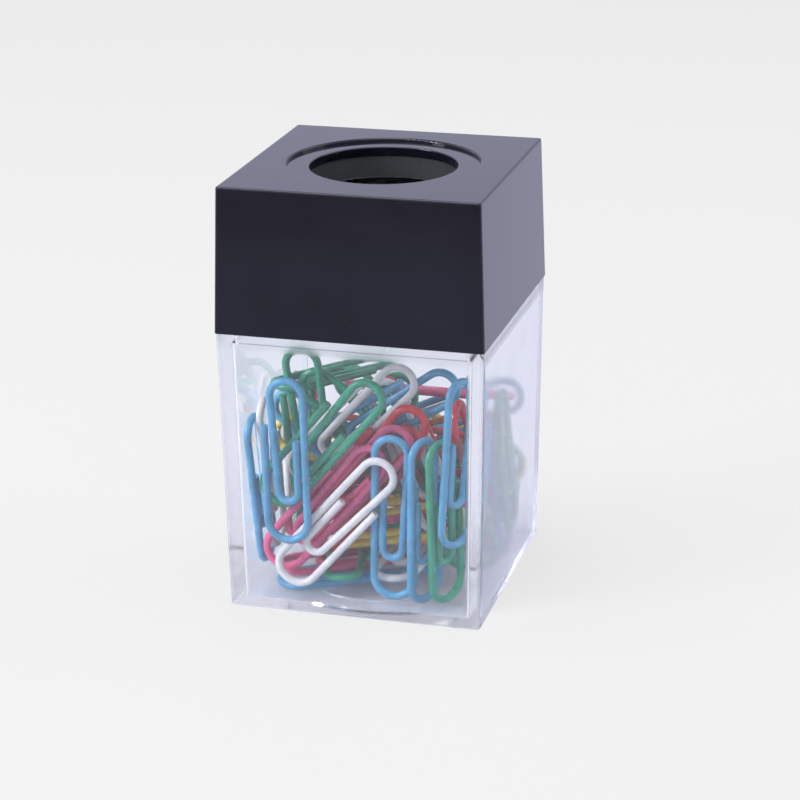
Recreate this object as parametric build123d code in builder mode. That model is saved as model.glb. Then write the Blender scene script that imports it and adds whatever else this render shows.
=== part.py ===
from build123d import *
import os
import numpy as np
from scipy.spatial import KDTree

# Clear box: a square tub that widens upwards, with a narrower neck for the cap
shoulder_width = 42.7
box_draft = 0.75
shoulder_height = 46.15
box_wall = 2.1
floor_thickness = 1.5
box_edge_radius = 0.6
foot_edge_radius = 0.55
cavity_edge_radius = 0.8
joggle_drop = 1.8
neck_wall = 0.92
neck_height = 10.0
foot_recess_diameter = 30.0
foot_recess_depth = 0.5

# Cap: a square hood with a round dished hole in its top
cap_overhang = 0.15
cap_draft = 0.7
cap_height = 23.25
cap_wall = 1.4
cap_edge_radius = 0.5
cap_top_edge_radius = 0.35
cap_fit_clearance = 0.08
dish_diameter = 30.6
dish_depth = 0.55
dish_edge_radius = 0.3
hole_diameter = 23.4
lip_thickness = 1.4
lip_edge_radius = 0.2

# Ring magnet and the collar with four snap hooks that holds it under the cap's top
magnet_bore = 23.8
magnet_diameter = 34.0
magnet_thickness = 3.8
magnet_chamfer = 0.3
collar_clearance = 0.15
collar_wall = 1.1
hook_count = 4
hook_first_angle = 45.0
hook_arc = 22.0
hook_reach = 0.8
hook_thickness = 1.0

# Paper clip: one coated wire bent into two nested loops
clip_length = 28.0
clip_width = 7.8
wire_diameter = 1.25
outer_leg_setback = 8.2
narrow_bend_radius = 2.7
inner_bend_radius = 1.6
inner_taper = 3.0
inner_run_length = 15.8
inner_leg_length = 8.6

# Heap: clips lie in flat stacks against the walls, on the floor and on each other
wire_clearance = 0.08
fill_clearance = 0.05
wall_clearance = 0.2
column_clearance = 0.4
heap_front_height = 40.0
heap_slope = 17.0
top_drop = 3.0
top_tilt = 6.0
corner_turn = 62.0
corner_side_inset = 1.6
corner_front_inset = 2.9
core_front = -4.5
core_lean = 35.0
next_across = 1.0
next_height = 21.0
next_lean = 4.0
fill_seed = 5
fill_colour_step = 3
fill_try_count = 1500
deeper_layer_count = 12
wire_point_spacing = 0.5

base_width = shoulder_width - 2 * box_draft
cap_rim_width = shoulder_width + 2 * cap_overhang
cap_top_width = cap_rim_width - 2 * cap_draft
cap_top = shoulder_height + cap_height
dish_floor = cap_top - dish_depth
ceiling = dish_floor - lip_thickness
magnet_bottom = ceiling - magnet_thickness
neck_top = shoulder_height + neck_height
joggle_height = shoulder_height - joggle_drop


def box_width(height):
    """Outside width of the clear box at a height."""
    return base_width + (shoulder_width - base_width) * height / shoulder_height


def cap_width(height):
    """Outside width of the cap at a height."""
    return cap_rim_width + (cap_top_width - cap_rim_width) * (height - shoulder_height) / cap_height


def tapered_block(low_width, low_height, high_width, high_height, edge_radius):
    """Square block between two heights, with its upright edges rounded."""
    with BuildPart() as block:
        with BuildSketch(Plane.XY.offset(low_height)):
            Rectangle(low_width, low_width)
        with BuildSketch(Plane.XY.offset(high_height)):
            Rectangle(high_width, high_width)
        loft()
        fillet(block.edges().group_by(Axis.Z)[1], edge_radius)
    return block.part


def write(piece, name):
    """Label a finished piece and write it to its own file."""
    piece.label = name
    export_step(piece, f"parts/{name}.step")


os.makedirs("parts", exist_ok=True)

# Clear box
cavity_floor_width = box_width(floor_thickness) - 2 * box_wall
cavity_top_width = box_width(joggle_height) - 2 * box_wall
neck_low_width = cap_width(shoulder_height) - 2 * cap_wall - 2 * cap_fit_clearance
neck_high_width = cap_width(neck_top) - 2 * cap_wall - 2 * cap_fit_clearance
neck_bore_width = neck_high_width - 2 * neck_wall

tub = tapered_block(base_width, 0, shoulder_width, shoulder_height, box_edge_radius)
neck = tapered_block(neck_low_width, shoulder_height, neck_high_width, neck_top, box_edge_radius)
cavity = tapered_block(
    cavity_floor_width, floor_thickness, cavity_top_width, joggle_height, cavity_edge_radius
)
neck_bore = tapered_block(neck_bore_width, joggle_height, neck_bore_width, neck_top, cavity_edge_radius)

with BuildPart() as clear_box:
    add(tub)
    fillet(clear_box.faces().sort_by(Axis.Z)[0].edges(), foot_edge_radius)
    add(neck)
    add(cavity, mode=Mode.SUBTRACT)
    add(neck_bore, mode=Mode.SUBTRACT)
    with BuildSketch():
        Circle(foot_recess_diameter / 2)
    extrude(amount=foot_recess_depth, mode=Mode.SUBTRACT)
write(clear_box.part, "clear_box")

# Cap with its dished hole, the collar around the magnet and the hooks under it
collar_inner = magnet_diameter / 2 + collar_clearance
collar_outer = collar_inner + collar_wall
hook_depth = collar_wall + collar_clearance + hook_reach

hood = tapered_block(cap_rim_width, shoulder_height, cap_top_width, cap_top, cap_edge_radius)
hollow_low_width = cap_width(shoulder_height) - 2 * cap_wall
hollow_high_width = cap_width(ceiling) - 2 * cap_wall
hollow = tapered_block(hollow_low_width, shoulder_height, hollow_high_width, ceiling, box_edge_radius)

with BuildPart() as cap:
    add(hood)
    fillet(cap.faces().sort_by(Axis.Z)[-1].edges(), cap_top_edge_radius)
    add(hollow, mode=Mode.SUBTRACT)
    with BuildSketch(Plane.XY.offset(cap_top)):
        Circle(dish_diameter / 2)
    extrude(amount=-dish_depth, mode=Mode.SUBTRACT)
    with BuildSketch(Plane.XY.offset(dish_floor)):
        Circle(hole_diameter / 2)
    extrude(amount=-lip_thickness, mode=Mode.SUBTRACT)
    fillet(cap.edges().filter_by(GeomType.CIRCLE).group_by(Axis.Z)[-1], dish_edge_radius)
    hole_rim = cap.edges().filter_by(GeomType.CIRCLE).filter_by_position(Axis.Z, dish_floor, dish_floor)
    fillet(hole_rim.sort_by(SortBy.RADIUS)[0], lip_edge_radius)
    with BuildSketch(Plane.XY.offset(ceiling)):
        Circle(collar_outer)
        Circle(collar_inner, mode=Mode.SUBTRACT)
    extrude(amount=-magnet_thickness)
    for hook in range(hook_count):
        hook_angle = hook_first_angle + hook * 360 / hook_count - hook_arc / 2
        with BuildSketch(Plane.XZ.rotated((0, 0, hook_angle))):
            with Locations((collar_outer, magnet_bottom)):
                Rectangle(hook_depth, hook_thickness, align=(Align.MAX, Align.MAX))
        revolve(axis=Axis.Z, revolution_arc=hook_arc)
write(cap.part, "cap")

# Ring magnet, seated against the underside of the cap's top
with BuildPart() as magnet_ring:
    with BuildSketch(Plane.XY.offset(magnet_bottom)):
        Circle(magnet_diameter / 2)
        Circle(magnet_bore / 2, mode=Mode.SUBTRACT)
    extrude(amount=magnet_thickness)
    chamfer(magnet_ring.edges().filter_by(GeomType.CIRCLE), magnet_chamfer)
write(magnet_ring.part, "magnet_ring")

# Paper clip, upright in the plane of the front wall and centred on its own middle
wide_bend_radius = (clip_width - wire_diameter) / 2
wide_bend_height = (wire_diameter - clip_length) / 2 + wide_bend_radius
narrow_bend_height = (clip_length - wire_diameter) / 2 - narrow_bend_radius
outer_leg_end = clip_length / 2 - outer_leg_setback

with BuildPart() as clip:
    with BuildLine(Plane.XZ) as wire_line:
        outer_leg = Line((-wide_bend_radius, outer_leg_end), (-wide_bend_radius, wide_bend_height))
        wide_bend = JernArc(outer_leg @ 1, outer_leg % 1, wide_bend_radius, 180)
        long_leg = Line(wide_bend @ 1, (wide_bend_radius, narrow_bend_height))
        narrow_bend = JernArc(long_leg @ 1, long_leg % 1, narrow_bend_radius, 180 + inner_taper)
        inner_run = PolarLine(narrow_bend @ 1, inner_run_length, direction=narrow_bend % 1)
        inner_bend = JernArc(inner_run @ 1, inner_run % 1, inner_bend_radius, 180 - inner_taper)
        PolarLine(inner_bend @ 1, inner_leg_length, direction=inner_bend % 1)
    with BuildSketch(Plane(origin=wire_line.line @ 0, z_dir=wire_line.line % 0)):
        Circle(wire_diameter / 2)
    sweep()
clip_wire = wire_line.wire()
print("clip wire length", round(clip_wire.length, 2), "volume", round(clip.part.volume, 2))

# Stacks: each is a flat pile of layers, one wire apart, that grows along its own Y direction
wire_pitch = wire_diameter + wire_clearance
narrowest_width = min(cavity_floor_width, cavity_top_width, neck_bore_width)
heap_reach = narrowest_width / 2 - wall_clearance - wire_diameter / 2
heap_floor = floor_thickness + wire_clearance + wire_diameter / 2
slope_height = heap_front_height - heap_reach * np.tan(np.radians(heap_slope)) + wire_pitch
top_height = slope_height - top_drop
corner_side = heap_reach - corner_side_inset
corner_front = heap_reach - corner_front_inset

stacks = {
    "front": Location((0, -heap_reach, 0)),
    "left": Location((-heap_reach, 0, 0), (0, 0, -90)),
    "right": Location((heap_reach, 0, 0), (0, 0, 90)),
    "back": Location((0, heap_reach, 0), (0, 0, 180)),
    "floor": Location((0, 0, heap_floor), (90, 0, 0)),
    "corner": Location((corner_side, -corner_front, 0), (0, 0, corner_turn)),
    "slope": Location((0, 0, slope_height), (90 - heap_slope, 0, 0)),
    "top": Location((0, 0, top_height), (90 - top_tilt, 0, 0)),
    "middle": Location((0, 0, 0)),
    "core": Location((0, core_front, heap_floor), (-core_lean, 0, 0)),
}

# Clips that show at the front: name, stack, layer, across, up, lean in degrees, turned over
shown_clips = [
    ("blue_front_left", "front", 0, -11.4, 24.9, -1, False),
    ("blue_front_right", "corner", 0, 0.0, 25.6, 5, True),
    ("green_upright_right", "corner", 1.6, -1.1, 15.9, -2, True),
    ("blue_upright_right", "corner", 3.7, -2.6, 15.8, 1, True),
    ("blue_upright_middle", "front", 1, 5.6, 15.8, 1, True),
    ("white_diagonal", "front", 1, -3.4, 14.6, 41, True),
    ("pink_lower_diagonal", "front", 2, -6.4, 16.2, 40, False),
    ("pink_diagonal", "front", 3, -2.8, 19.8, 43, False),
    ("green_diagonal", "front", 2, -6.2, 27.6, 40, False),
    ("blue_left_edge", "left", 0, 11.6, 17.6, 13, False),
    ("white_left_edge", "left", 1, 9.8, 19.8, 11, False),
    ("blue_flat", "floor", 0, -2.6, 6.4, 120, False),
    ("pink_flat", "floor", 1, -3.6, 3.6, 122, False),
    ("white_floor", "floor", 2, 5.0, 0.4, 176, False),
    ("red_diagonal", "front", 4, -0.3, 22.4, 40, False),
    ("red_lower_diagonal", "front", 5, -1.4, 18.4, 39, False),
    ("green_top_rising", "top", 0, -9.5, -4.0, 155, False),
    ("pink_top_flat", "slope", -3, 6.0, -8.0, 80, False),
    ("white_top", "front", 5, -3.0, 29.2, 44, False),
    ("green_top_left", "front", 6, -11.2, 26.6, -6, False),
    ("blue_top_right", "front", 7, 2.2, 30.4, 57, False),
    ("yellow_lower", "front", 7, 2.0, 12.2, 78, False),
    ("orange_lower", "front", 8, 1.0, 11.0, 82, False),
]

# Fill behind them: stack, first layer, last layer, most clips, lowest and highest up, least and most lean
fill_zones = [
    ("left", 0, 2, 4, 0, 40, -45, 45),
    ("right", 0, 2, 5, 0, 40, -45, 45),
    ("back", 0, 3, 8, 0, 40, -70, 70),
    ("floor", 0, 3, 3, -16, 16, 0, 180),
    ("front", 8, 14, 6, 0, 40, -75, 75),
    ("core", 0, 15, 6, -5, 35, -90, 90),
]
fill_colours = ["blue", "green", "pink", "white", "green", "blue", "red", "yellow", "green", "orange"]

wire_steps = int(clip_wire.length / wire_point_spacing)
wire_points = np.array([tuple(clip_wire @ (step / wire_steps)) for step in range(wire_steps + 1)])
stack_frames = {name: Plane(place) for name, place in stacks.items()}
stack_origins = {name: np.array(tuple(frame.origin)) for name, frame in stack_frames.items()}
stack_axes = {
    name: np.array([tuple(frame.x_dir), tuple(frame.y_dir), tuple(frame.z_dir)])
    for name, frame in stack_frames.items()
}
heap_low = np.array([-heap_reach, -heap_reach, heap_floor])
heap_high = np.array([heap_reach, heap_reach, joggle_height])
next_place = ("middle", 0, next_across, next_height, next_lean, False)
laid_names = []
laid_places = []
laid_points = []


def wire_at(stack, layer, across, up, lean, turned_over):
    """Points along a clip's wire when it lies in a layer of a stack."""
    tilt = np.radians(lean)
    sideways = -wire_points[:, 0] if turned_over else wire_points[:, 0]
    lengthways = wire_points[:, 2]
    right = across + sideways * np.cos(tilt) + lengthways * np.sin(tilt)
    rise = up - sideways * np.sin(tilt) + lengthways * np.cos(tilt)
    depth = np.full(len(right), layer * wire_pitch)
    return np.stack([right, depth, rise], axis=1) @ stack_axes[stack] + stack_origins[stack]


def place_at(stack, layer, across, up, lean, turned_over):
    """Where a clip stands when it lies in a layer of a stack."""
    return stacks[stack] * Pos(across, layer * wire_pitch, up) * Rot(0, lean, 180 if turned_over else 0)


def lay(name, points, place):
    """Keep a clip in the heap."""
    laid_names.append(f"clip_{name}")
    laid_places.append(place)
    laid_points.append(points)


def shift_inside(points):
    """Move that brings a wire back inside the walls and above the floor."""
    below = np.maximum(heap_low - points.min(axis=0), 0)
    above = np.maximum(points.max(axis=0) - heap_high, 0)
    return below - above


def is_clear(points, laid):
    """Whether a wire clears the laid wires and the way out of the next clip."""
    if column.query(points)[0].min() < wire_diameter + column_clearance:
        return False
    return laid.query(points)[0].min() >= wire_diameter + fill_clearance


def heap_top(depth):
    """Height of the heap, which falls towards the back."""
    return heap_front_height - np.tan(np.radians(heap_slope)) * (depth + heap_reach)


# The next clip and the way straight up from it to the hole
lay("green_next_out", wire_at(*next_place), place_at(*next_place))
lifts = np.arange(0, cap_top, wire_point_spacing)
column = KDTree(np.concatenate([laid_points[0] + np.array([0, 0, lift]) for lift in lifts]))

# Shown clips go one layer deeper wherever a clip already lies in their way
for name, stack, first_layer, across, up, lean, turned_over in shown_clips:
    laid = KDTree(np.concatenate(laid_points))
    for deeper in range(deeper_layer_count):
        layer = first_layer + deeper
        points = wire_at(stack, layer, across, up, lean, turned_over)
        shift = shift_inside(points)
        if is_clear(points + shift, laid):
            lay(name, points + shift, Pos(*shift) * place_at(stack, layer, across, up, lean, turned_over))
            break

# Fill clips are tried at random and kept where they fit
chance = np.random.default_rng(fill_seed)
for zone, (stack, first_layer, last_layer, most, low, high, least_lean, most_lean) in enumerate(fill_zones):
    count = 0
    laid = KDTree(np.concatenate(laid_points))
    for layer in range(first_layer, last_layer + 1):
        for attempt in range(fill_try_count):
            if count == most:
                break
            across = chance.uniform(-heap_reach, heap_reach)
            up = chance.uniform(low, high)
            lean = chance.uniform(least_lean, most_lean)
            turned_over = bool(chance.integers(2))
            points = wire_at(stack, layer, across, up, lean, turned_over)
            if shift_inside(points).any() or (points[:, 2] > heap_top(points[:, 1])).any():
                continue
            if is_clear(points, laid):
                count = count + 1
                colour = fill_colours[(zone * fill_colour_step + count) % len(fill_colours)]
                place = place_at(stack, layer, across, up, lean, turned_over)
                lay(f"{colour}_{stack}_{count}", points, place)
                laid = KDTree(np.concatenate(laid_points))

# Each clip of the heap is a piece of its own
for name, place in zip(laid_names, laid_places):
    with BuildPart() as laid_clip:
        with Locations(place):
            add(clip.part)
    write(laid_clip.part, name)

rooms = []
for number in range(1, len(laid_points)):
    before = KDTree(np.concatenate(laid_points[:number]))
    rooms.append(before.query(laid_points[number])[0].min() - wire_diameter)
print("clips", len(laid_names), "least room between wires", round(min(rooms), 3))
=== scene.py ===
import math

import bpy
from mathutils import Matrix, Vector

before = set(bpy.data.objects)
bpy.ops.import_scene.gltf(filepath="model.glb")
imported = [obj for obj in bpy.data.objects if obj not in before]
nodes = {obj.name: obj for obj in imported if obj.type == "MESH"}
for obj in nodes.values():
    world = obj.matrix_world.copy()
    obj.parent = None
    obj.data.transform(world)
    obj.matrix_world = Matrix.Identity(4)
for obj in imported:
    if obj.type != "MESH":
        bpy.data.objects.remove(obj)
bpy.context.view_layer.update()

scene = bpy.context.scene
print("loaded", len(nodes), "nodes")


# small helpers for node trees

def newMaterial(name):
    material = bpy.data.materials.new(name)
    material.use_nodes = True
    tree = material.node_tree
    tree.nodes.clear()
    output = tree.nodes.new("ShaderNodeOutputMaterial")
    shader = tree.nodes.new("ShaderNodeBsdfPrincipled")
    tree.links.new(shader.outputs["BSDF"], output.inputs["Surface"])
    return material, tree, shader, output


def addNode(tree, kind, **values):
    node = tree.nodes.new(kind)
    for key, value in values.items():
        setattr(node, key, value)
    return node


def objectPlace(tree):
    return addNode(tree, "ShaderNodeTexCoord").outputs["Object"]


def noise(tree, place, scale, detail=2.0, roughness=0.5):
    node = addNode(tree, "ShaderNodeTexNoise")
    node.inputs["Scale"].default_value = scale
    node.inputs["Detail"].default_value = detail
    node.inputs["Roughness"].default_value = roughness
    tree.links.new(place, node.inputs["Vector"])
    return node.outputs["Fac"]


def spread(tree, value, low, high, fromLow=0.0, fromHigh=1.0):
    node = addNode(tree, "ShaderNodeMapRange")
    limits = {"From Min": fromLow, "From Max": fromHigh, "To Min": low, "To Max": high}
    for name, number in limits.items():
        node.inputs[name].default_value = number
    tree.links.new(value, node.inputs["Value"])
    return node.outputs["Result"]


def arithmetic(tree, operation, first, second):
    node = addNode(tree, "ShaderNodeMath", operation=operation)
    for socket, value in zip(node.inputs, (first, second)):
        if isinstance(value, (int, float)):
            socket.default_value = value
        else:
            tree.links.new(value, socket)
    return node.outputs["Value"]


def blendColours(tree, factor, first, second):
    node = addNode(tree, "ShaderNodeMix", data_type="RGBA")
    tree.links.new(factor, node.inputs["Factor"])
    for name, value in (("A", first), ("B", second)):
        socket = [s for s in node.inputs if s.name == name and s.type == "RGBA"][0]
        if isinstance(value, tuple):
            socket.default_value = (*value, 1.0)
        else:
            tree.links.new(value, socket)
    return [s for s in node.outputs if s.type == "RGBA"][0]


def mixShaders(tree, factor, first, second, output):
    mix = addNode(tree, "ShaderNodeMixShader")
    tree.links.new(factor, mix.inputs["Fac"])
    tree.links.new(first, mix.inputs[1])
    tree.links.new(second, mix.inputs[2])
    tree.links.new(mix.outputs["Shader"], output.inputs["Surface"])


def addBump(tree, shader, height, strength, depth):
    bump = addNode(tree, "ShaderNodeBump")
    bump.inputs["Strength"].default_value = strength
    bump.inputs["Distance"].default_value = depth
    tree.links.new(height, bump.inputs["Height"])
    tree.links.new(bump.outputs["Normal"], shader.inputs["Normal"])


def newGroup(name, inputs, outputs):
    group = bpy.data.node_groups.new(name, "ShaderNodeTree")
    for socketName, kind, value in inputs:
        socket = group.interface.new_socket(socketName, in_out="INPUT", socket_type=kind)
        socket.default_value = value
    for socketName, kind in outputs:
        group.interface.new_socket(socketName, in_out="OUTPUT", socket_type=kind)
    start = group.nodes.new("NodeGroupInput")
    end = group.nodes.new("NodeGroupOutput")
    return group, start.outputs, end.inputs


def useGroup(tree, group, **values):
    node = addNode(tree, "ShaderNodeGroup", node_tree=group)
    for name, value in values.items():
        node.inputs[name].default_value = value
    return node.outputs


# shared finish: handling marks, fine scratches, moulding ripple

markForms = {
    "smearDetail": 3.0, "smearTwist": 0.8,
    "scratchStretch": (1.0, 1.0, 0.06), "scratchTurn": (0.5, 0.9, 0.3),
    "scratchDetail": 1.0, "scratchFrom": 0.66, "scratchTo": 0.74,
    "dotScale": 700.0, "dotCore": 0.05, "dotEdge": 0.12,
    "patchScale": 220.0, "patchFrom": 0.58, "patchTo": 0.66,
}


def makeHandlingMarks(form):
    group, start, end = newGroup(
        "handlingMarks",
        [("smearScale", "NodeSocketFloat", 60.0), ("scratchScale", "NodeSocketFloat", 900.0),
         ("specks", "NodeSocketFloat", 0.3)],
        [("smear", "NodeSocketFloat"), ("scratch", "NodeSocketFloat"), ("speck", "NodeSocketFloat")])
    place = objectPlace(group)
    smear = addNode(group, "ShaderNodeTexNoise")  # soft patches left by fingers
    smear.inputs["Detail"].default_value = form["smearDetail"]
    smear.inputs["Distortion"].default_value = form["smearTwist"]
    group.links.new(place, smear.inputs["Vector"])
    group.links.new(start["smearScale"], smear.inputs["Scale"])
    group.links.new(smear.outputs["Fac"], end["smear"])
    stretch = addNode(group, "ShaderNodeMapping")  # long thin marks
    stretch.inputs["Scale"].default_value = form["scratchStretch"]
    stretch.inputs["Rotation"].default_value = form["scratchTurn"]
    group.links.new(place, stretch.inputs["Vector"])
    scratch = addNode(group, "ShaderNodeTexNoise")
    scratch.inputs["Detail"].default_value = form["scratchDetail"]
    group.links.new(stretch.outputs["Vector"], scratch.inputs["Vector"])
    group.links.new(start["scratchScale"], scratch.inputs["Scale"])
    thin = spread(group, scratch.outputs["Fac"], 0.0, 1.0, form["scratchFrom"], form["scratchTo"])
    group.links.new(thin, end["scratch"])
    dots = addNode(group, "ShaderNodeTexVoronoi")  # dust specks
    dots.inputs["Scale"].default_value = form["dotScale"]
    group.links.new(place, dots.inputs["Vector"])
    small = spread(group, dots.outputs["Distance"], 1.0, 0.0, form["dotCore"], form["dotEdge"])
    patches = noise(group, place, form["patchScale"])
    rare = spread(group, patches, 0.0, 1.0, form["patchFrom"], form["patchTo"])
    speck = arithmetic(group, "MULTIPLY", arithmetic(group, "MULTIPLY", small, rare), start["specks"])
    group.links.new(speck, end["speck"])
    return group


def makeMouldRipple():
    group, start, end = newGroup(
        "mouldRipple",
        [("rippleScale", "NodeSocketFloat", 120.0), ("grainScale", "NodeSocketFloat", 4000.0),
         ("grainShare", "NodeSocketFloat", 0.2)],
        [("height", "NodeSocketFloat")])
    place = objectPlace(group)
    ripple = addNode(group, "ShaderNodeTexNoise")
    ripple.inputs["Detail"].default_value = 1.0
    grain = addNode(group, "ShaderNodeTexNoise")
    grain.inputs["Detail"].default_value = 2.0
    for texture, name in ((ripple, "rippleScale"), (grain, "grainScale")):
        group.links.new(place, texture.inputs["Vector"])
        group.links.new(start[name], texture.inputs["Scale"])
    fine = arithmetic(group, "MULTIPLY", grain.outputs["Fac"], start["grainShare"])
    group.links.new(arithmetic(group, "ADD", ripple.outputs["Fac"], fine), end["height"])
    return group


handlingMarks = makeHandlingMarks(markForms)
mouldRipple = makeMouldRipple()


def addMarks(tree, look):
    return useGroup(tree, handlingMarks, smearScale=look["smearScale"],
                    scratchScale=look["scratchScale"], specks=look["specks"])


def addRipple(tree, shader, look):
    ripple = useGroup(tree, mouldRipple, rippleScale=look["rippleScale"], grainShare=look["grainShare"])
    addBump(tree, shader, ripple["height"], look["rippleStrength"], look["rippleDepth"])


def markedGloss(tree, marks, look):
    smeared = spread(
        tree, marks["smear"], look["gloss"], look["smearGloss"], look["smearFrom"], look["smearTo"])
    scratched = arithmetic(tree, "MULTIPLY", marks["scratch"], look["scratchGloss"])
    return arithmetic(tree, "ADD", smeared, scratched)


# clear box: polished polystyrene, faintly lilac and greyer where it is thick

clearBox = {
    "tint": (0.925, 0.94, 0.995), "haze": (0.895, 0.91, 0.97), "index": 1.57,
    "hazeMost": 0.6, "hazeFrom": 0.5, "hazeTo": 0.8,
    "depthTint": (0.50, 0.50, 0.75), "density": 6.0, "letThrough": (0.97, 0.97, 0.985),
    "smearScale": 70.0, "scratchScale": 700.0, "specks": 0.4,
    "gloss": 0.015, "smearGloss": 0.05, "smearFrom": 0.45, "smearTo": 0.75, "scratchGloss": 0.03,
    "sideGloss": 0.08, "sideStart": 0.0202, "sideEnd": 0.0206,
    "ledgeGloss": 0.22, "ledgeStart": 0.0434, "ledgeEnd": 0.0439, "neckStart": 0.0462, "neckEnd": 0.0466,
    "footGloss": 0.10, "footStart": 0.0060, "footEnd": 0.0170,
    "rippleStrength": 0.05, "rippleDepth": 0.0004, "rippleScale": 90.0, "grainShare": 0.0,
}


def addDullZones(tree, look):
    place = addNode(tree, "ShaderNodeSeparateXYZ")
    tree.links.new(objectPlace(tree), place.inputs["Vector"])
    outward = arithmetic(tree, "ABSOLUTE", place.outputs["X"], 0.0)
    height = place.outputs["Z"]
    side = spread(tree, outward, 0.0, look["sideGloss"], look["sideStart"], look["sideEnd"])
    ledge = spread(tree, height, 0.0, look["ledgeGloss"], look["ledgeStart"], look["ledgeEnd"])
    neck = spread(tree, height, 1.0, 0.0, look["neckStart"], look["neckEnd"])
    ledge = arithmetic(tree, "MULTIPLY", ledge, neck)  # the neck above it is clear
    foot = spread(tree, height, look["footGloss"], 0.0, look["footStart"], look["footEnd"])
    return arithmetic(tree, "MAXIMUM", side, arithmetic(tree, "MAXIMUM", ledge, foot))


def makeClearPlastic(look):
    material, tree, shader, output = newMaterial("clearPolystyrene")
    marks = addMarks(tree, look)
    haze = spread(tree, marks["smear"], 0.0, look["hazeMost"], look["hazeFrom"], look["hazeTo"])
    tree.links.new(blendColours(tree, haze, look["tint"], look["haze"]), shader.inputs["Base Color"])
    dull = addDullZones(tree, look)  # side walls, ledge and foot came duller out of the mould
    gloss = arithmetic(tree, "ADD", markedGloss(tree, marks, look), dull)
    tree.links.new(gloss, shader.inputs["Roughness"])
    shader.inputs["IOR"].default_value = look["index"]
    shader.inputs["Transmission Weight"].default_value = 1.0
    addRipple(tree, shader, look)
    depth = addNode(tree, "ShaderNodeVolumeAbsorption")  # thick plastic greys what is seen along a wall
    depth.inputs["Color"].default_value = (*look["depthTint"], 1.0)
    depth.inputs["Density"].default_value = look["density"]
    tree.links.new(depth.outputs["Volume"], output.inputs["Volume"])
    letThrough = addNode(tree, "ShaderNodeBsdfTransparent")  # light reaches the clips inside
    letThrough.inputs["Color"].default_value = (*look["letThrough"], 1.0)
    path = addNode(tree, "ShaderNodeLightPath")
    shadow = path.outputs["Is Shadow Ray"]
    mixShaders(tree, shadow, shader.outputs["BSDF"], letThrough.outputs["BSDF"], output)
    return material


# cap: gloss black plastic with finger smears, fine scratches and a little dust

capBlack = {
    "deep": (0.004, 0.0045, 0.010), "faded": (0.009, 0.010, 0.019), "dust": (0.14, 0.14, 0.16),
    "index": 1.53, "fadeFrom": 0.35, "fadeTo": 0.75,
    "smearScale": 55.0, "scratchScale": 800.0, "specks": 0.12,
    "gloss": 0.07, "smearGloss": 0.15, "smearFrom": 0.4, "smearTo": 0.75, "scratchGloss": 0.06,
    "rippleStrength": 0.04, "rippleDepth": 0.0003, "rippleScale": 110.0, "grainShare": 0.05,
}


def makeCapPlastic(look):
    material, tree, shader, _ = newMaterial("glossBlackPlastic")
    marks = addMarks(tree, look)
    fading = spread(tree, marks["smear"], 0.0, 1.0, look["fadeFrom"], look["fadeTo"])
    tone = blendColours(tree, fading, look["deep"], look["faded"])
    tree.links.new(blendColours(tree, marks["speck"], tone, look["dust"]), shader.inputs["Base Color"])
    tree.links.new(markedGloss(tree, marks, look), shader.inputs["Roughness"])
    shader.inputs["IOR"].default_value = look["index"]
    addRipple(tree, shader, look)
    return material


# ring magnet: sintered ferrite, satin grey-black with a fine grain

ringFerrite = {
    "dark": (0.060, 0.066, 0.074), "pale": (0.085, 0.092, 0.100), "paleFrom": 0.35, "paleTo": 0.65,
    "grainScale": 2600.0, "grainDetail": 3.0, "grainRoughness": 0.6, "grainShare": 0.6,
    "cloudScale": 160.0, "cloudShare": 0.4,
    "gloss": 0.30, "dullGloss": 0.42, "dullFrom": 0.3, "dullTo": 0.7, "metallic": 0.25,
    "grainStrength": 0.10, "grainDepth": 0.00005,
}


def makeFerrite(look):
    material, tree, shader, _ = newMaterial("sinteredFerrite")
    place = objectPlace(tree)
    grain = noise(tree, place, look["grainScale"], look["grainDetail"], look["grainRoughness"])
    cloud = noise(tree, place, look["cloudScale"])
    fine = arithmetic(tree, "MULTIPLY", grain, look["grainShare"])
    broad = arithmetic(tree, "MULTIPLY", cloud, look["cloudShare"])
    both = arithmetic(tree, "ADD", fine, broad)
    paleness = spread(tree, both, 0.0, 1.0, look["paleFrom"], look["paleTo"])
    tree.links.new(blendColours(tree, paleness, look["dark"], look["pale"]), shader.inputs["Base Color"])
    gloss = spread(tree, grain, look["gloss"], look["dullGloss"], look["dullFrom"], look["dullTo"])
    tree.links.new(gloss, shader.inputs["Roughness"])
    shader.inputs["Metallic"].default_value = look["metallic"]
    addBump(tree, shader, grain, look["grainStrength"], look["grainDepth"])
    return material


# clips: vinyl coat on steel wire, one coat for each colour

clipCoats = {
    "blue": (0.09, 0.365, 0.60), "green": (0.022, 0.33, 0.19), "pink": (0.88, 0.12, 0.29),
    "white": (0.88, 0.88, 0.89), "red": (0.66, 0.02, 0.035), "yellow": (0.86, 0.60, 0.06),
    "orange": (0.82, 0.20, 0.03),
}
coatLook = {
    "deepen": 0.82, "fade": 1.18, "palest": 0.9, "fadeFrom": 0.3, "fadeTo": 0.7, "index": 1.5,
    "wornShare": 0.5, "wornPale": 0.2, "scratchShow": 0.25,
    "smearScale": 240.0, "scratchScale": 1500.0, "specks": 0.2,
    "gloss": 0.16, "dullGloss": 0.34, "dullFrom": 0.35, "dullTo": 0.75,
    "rippleStrength": 0.10, "rippleDepth": 0.00008, "rippleScale": 500.0, "grainShare": 0.2,
}


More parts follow.
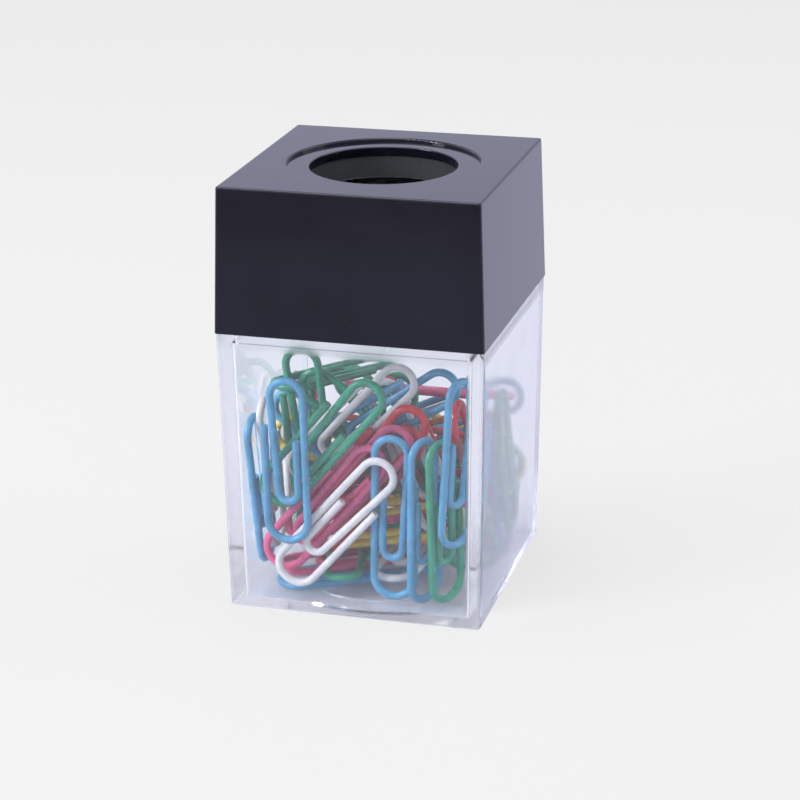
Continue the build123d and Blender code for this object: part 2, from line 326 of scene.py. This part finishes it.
def makeCoat(name, colour, look):
    material, tree, shader, _ = newMaterial(f"{name}Coat")
    marks = addMarks(tree, look)
    deep = tuple(c * look["deepen"] for c in colour)
    pale = tuple(min(look["palest"], c * look["fade"]) for c in colour)
    worn = tuple(look["wornShare"] * c + look["wornPale"] for c in colour)
    fading = spread(tree, marks["smear"], 0.0, 1.0, look["fadeFrom"], look["fadeTo"])
    tone = blendColours(tree, fading, deep, pale)
    scratched = arithmetic(tree, "MULTIPLY", marks["scratch"], look["scratchShow"])
    tree.links.new(blendColours(tree, scratched, tone, worn), shader.inputs["Base Color"])
    gloss = spread(tree, marks["smear"], look["gloss"], look["dullGloss"], look["dullFrom"], look["dullTo"])
    tree.links.new(gloss, shader.inputs["Roughness"])
    shader.inputs["IOR"].default_value = look["index"]
    addRipple(tree, shader, look)
    return material


def dress(name, material):
    piece = nodes[name]
    if not piece.material_slots:
        piece.data.materials.append(material)
    for slot in piece.material_slots:
        slot.material = material


dress("clear_box", makeClearPlastic(clearBox))
dress("cap", makeCapPlastic(capBlack))
dress("magnet_ring", makeFerrite(ringFerrite))
coats = {name: makeCoat(name, colour, coatLook) for name, colour in clipCoats.items()}
clipNodes = [name for name in nodes if name.startswith("clip_")]
for name in clipNodes:
    dress(name, coats[name.split("_")[1]])
print("dressed the box, cap, magnet and", len(clipNodes), "clips")


# floor and studio

studio = {
    # the lilac colour below is a painted reflection, shown only to glossy rays
    "background": (0.855, 0.855, 0.855), "paintedReflection": (0.75, 0.755, 1.0), "worldLight": 0.60,
    "floorSize": 4.0, "floorShow": 0.76, "floorThrough": 0.05, "floorGap": 0.0003,
    "floorDark": (0.79, 0.79, 0.79), "floorPale": (0.82, 0.82, 0.82), "floorCloud": 6.0, "floorGloss": 0.8,
    "nearFloor": -0.08, "farFloor": -0.17, "paintedShadeShare": 0.56,  # painted shade: in reflections only, the floor darkens to the front
    "paintedCardNear": -0.265, "paintedCardFar": -0.30, "paintedCardColour": (0.52, 0.42, 0.44),  # and ends in a painted dark warm card, seen only in reflections
}


def showBackground(tree, plain, output, look, share, throughShare, paintedGlossShade=None, paintedCardMask=None):
    path = addNode(tree, "ShaderNodeLightPath")
    passed = path.outputs["Is Transmission Ray"]
    direct = arithmetic(tree, "MULTIPLY", path.outputs["Is Camera Ray"], share)
    through = arithmetic(tree, "MULTIPLY", passed, throughShare)
    mirrored = arithmetic(tree, "SUBTRACT", path.outputs["Is Glossy Ray"], passed)
    mirrored = arithmetic(tree, "MAXIMUM", mirrored, 0.0)  # rays through the box count as glossy too
    seen = arithmetic(tree, "MAXIMUM", arithmetic(tree, "MAXIMUM", direct, through), mirrored)
    glow = addNode(tree, "ShaderNodeEmission")
    # painted reflection: glossy rays see a lilac colour here that the camera never sees, tinting the cap
    # and box
    gloss = look["paintedReflection"]
    # painted reflection of a dark warm card, mixed into the colour that glossy rays see
    if paintedCardMask is not None:
        gloss = blendColours(tree, paintedCardMask, look["paintedReflection"], look["paintedCardColour"])
    tree.links.new(blendColours(tree, mirrored, look["background"], gloss), glow.inputs["Color"])
    if paintedGlossShade is not None:
        # painted shade on what glossy rays see of the floor
        dim = arithmetic(tree, "MULTIPLY", mirrored, arithmetic(tree, "SUBTRACT", 1.0, paintedGlossShade))
        tree.links.new(arithmetic(tree, "SUBTRACT", 1.0, dim), glow.inputs["Strength"])
    mixShaders(tree, seen, plain, glow.outputs["Emission"], output)


def makeFloor(look):
    half = look["floorSize"] / 2
    low = -look["floorGap"]  # the foot stands a hair clear, as on a real table
    corners = [(-half, -half, low), (half, -half, low), (half, half, low), (-half, half, low)]
    mesh = bpy.data.meshes.new("studioFloor")
    mesh.from_pydata(corners, [], [(0, 1, 2, 3)])
    floor = bpy.data.objects.new("studioFloor", mesh)
    scene.collection.objects.link(floor)
    material, tree, shader, output = newMaterial("paleFloor")
    place = objectPlace(tree)
    cloud = noise(tree, place, look["floorCloud"])
    tone = blendColours(tree, cloud, look["floorDark"], look["floorPale"])
    tree.links.new(tone, shader.inputs["Base Color"])
    shader.inputs["Roughness"].default_value = look["floorGloss"]
    split = addNode(tree, "ShaderNodeSeparateXYZ")
    tree.links.new(place, split.inputs["Vector"])
    depth = split.outputs["Y"]
    paintedGlossShade = spread(tree, depth, look["paintedShadeShare"], 1.0, look["farFloor"], look["nearFloor"])
    # painted reflection of a dark warm card at the front of the floor
    paintedCardMask = spread(tree, depth, 1.0, 0.0, look["paintedCardFar"], look["paintedCardNear"])
    plain = shader.outputs["BSDF"]
    showBackground(tree, plain, output, look, look["floorShow"], look["floorThrough"], paintedGlossShade, paintedCardMask)
    mesh.materials.append(material)


def makeWorld(look):
    world = bpy.data.worlds.new("studioWorld")
    scene.world = world
    world.use_nodes = True
    tree = world.node_tree
    tree.nodes.clear()
    output = tree.nodes.new("ShaderNodeOutputWorld")
    plain = addNode(tree, "ShaderNodeBackground")
    plain.inputs["Color"].default_value = (1.0, 1.0, 1.0, 1.0)
    plain.inputs["Strength"].default_value = look["worldLight"]
    showBackground(tree, plain.outputs["Background"], output, look, 1.0, 1.0)


softBoxes = [
    {"name": "overheadSoftBox", "place": (-0.10, -0.10, 0.75), "size": 0.6, "power": 3.0},
    {"name": "leftSoftBox", "place": (-0.65, -0.45, 0.40), "size": 0.24, "power": 3.2},
    {"name": "rightSoftBox", "place": (0.64, 0.25, 0.38), "size": 0.5, "power": 1.0},
]
lampTarget = Vector((0.0, 0.0, 0.03))


def makeSoftBox(look):
    lamp = bpy.data.lights.new(look["name"], "AREA")
    lamp.shape = "SQUARE"
    lamp.size = look["size"]
    lamp.energy = look["power"]
    box = bpy.data.objects.new(look["name"], lamp)
    scene.collection.objects.link(box)
    box.location = look["place"]
    aim = lampTarget - Vector(look["place"])
    box.rotation_euler = aim.to_track_quat("-Z", "Y").to_euler()


makeFloor(studio)
makeWorld(studio)
for softBox in softBoxes:
    makeSoftBox(softBox)
print("lit the studio")


# camera, from the fit to the holder's corners

view = {
    "place": (0.10713, -0.37381, 0.16867), "azimuth": 15.673, "elevation": 19.678, "roll": -0.614,
    "lens": 114.55, "sensor": 36.0, "nearest": 0.01,
}


def makeCamera(look):
    azimuth, elevation, roll = (math.radians(look[name]) for name in ("azimuth", "elevation", "roll"))
    level = math.cos(elevation)
    back = Vector((math.sin(azimuth) * level, -math.cos(azimuth) * level, math.sin(elevation)))
    right = Vector((math.cos(azimuth), math.sin(azimuth), 0.0))
    up = back.cross(right)
    turnedRight = math.cos(roll) * right + math.sin(roll) * up
    turnedUp = math.cos(roll) * up - math.sin(roll) * right
    lens = bpy.data.cameras.new("photoCamera")
    lens.sensor_width = look["sensor"]
    lens.lens = look["lens"]
    lens.clip_start = look["nearest"]
    camera = bpy.data.objects.new("photoCamera", lens)
    scene.collection.objects.link(camera)
    turn = Matrix((turnedRight, turnedUp, back)).transposed().to_4x4()
    camera.matrix_world = Matrix.Translation(look["place"]) @ turn
    scene.camera = camera


makeCamera(view)
scene.view_settings.view_transform = "Standard"
scene.cycles.max_bounces = 48  # light runs a long way inside the clear walls
scene.cycles.transmission_bounces = 48
scene.cycles.glossy_bounces = 24
print("set the camera")
